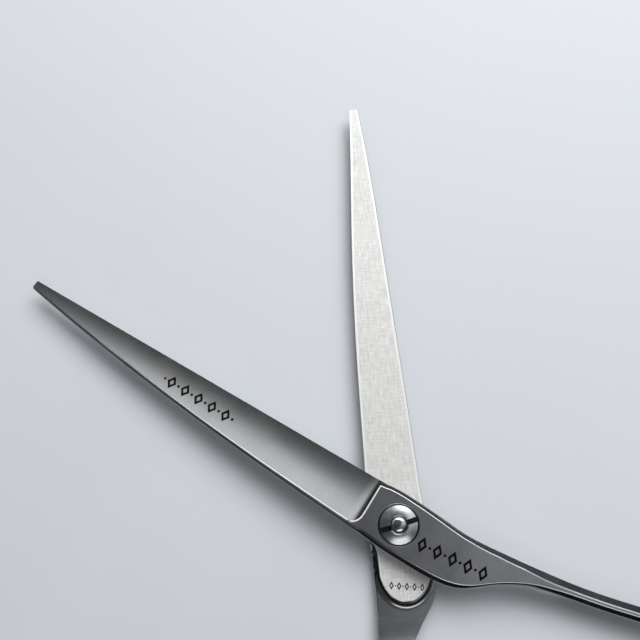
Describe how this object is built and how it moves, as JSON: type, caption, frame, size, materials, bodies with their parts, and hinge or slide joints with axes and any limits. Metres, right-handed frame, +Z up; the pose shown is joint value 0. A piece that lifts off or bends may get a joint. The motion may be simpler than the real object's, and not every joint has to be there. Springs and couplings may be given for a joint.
{
  "type": "hair cutting shears",
  "caption": "Barber's hair cutting shears with long hollow-ground blades, a flush cone-nut pivot, offset ring handles with rubber inserts and a hooked finger rest, shown opened.",
  "frame": {"origin": "on the pivot axis at the table plane, at the centre of the pivot stud's flat head", "axes": "+Z up along the pivot axis, +Y along the line halfway between the opened blades towards the tips, +X to the right seen from above"},
  "size_m": [0.1437, 0.1542, 0.0069],
  "materials": {
    "satin_steel": "satin",
    "polished_steel": "polished",
    "spring_steel": "satin",
    "bronze": "satin",
    "nylon": "matte",
    "black_rubber": "matte"
  },
  "bodies": {
    "lower": {"lower_half": "satin_steel", "pivot_stud": "polished_steel", "glide_washer": "nylon", "thumb_insert": "black_rubber"},
    "upper": {"upper_half": "satin_steel", "bearing_bush": "bronze", "spring_washer": "spring_steel", "finger_insert": "black_rubber", "bumper": "black_rubber", "finger_rest": "polished_steel"},
    "nut": {"tension_nut": "polished_steel"}
  },
  "joints": [
    {"name": "pivot", "type": "hinge", "parent": "lower", "child": "upper", "pos_m": [0, 0, 0], "axis": [0, 0, 1], "range_deg": [-52.4, 60]},
    {"name": "nut_turn", "type": "hinge", "parent": "lower", "child": "nut", "pos_m": [0, 0, 0.005], "axis": [0, 0, 1], "range_deg": [-90, 90]}
  ]
}
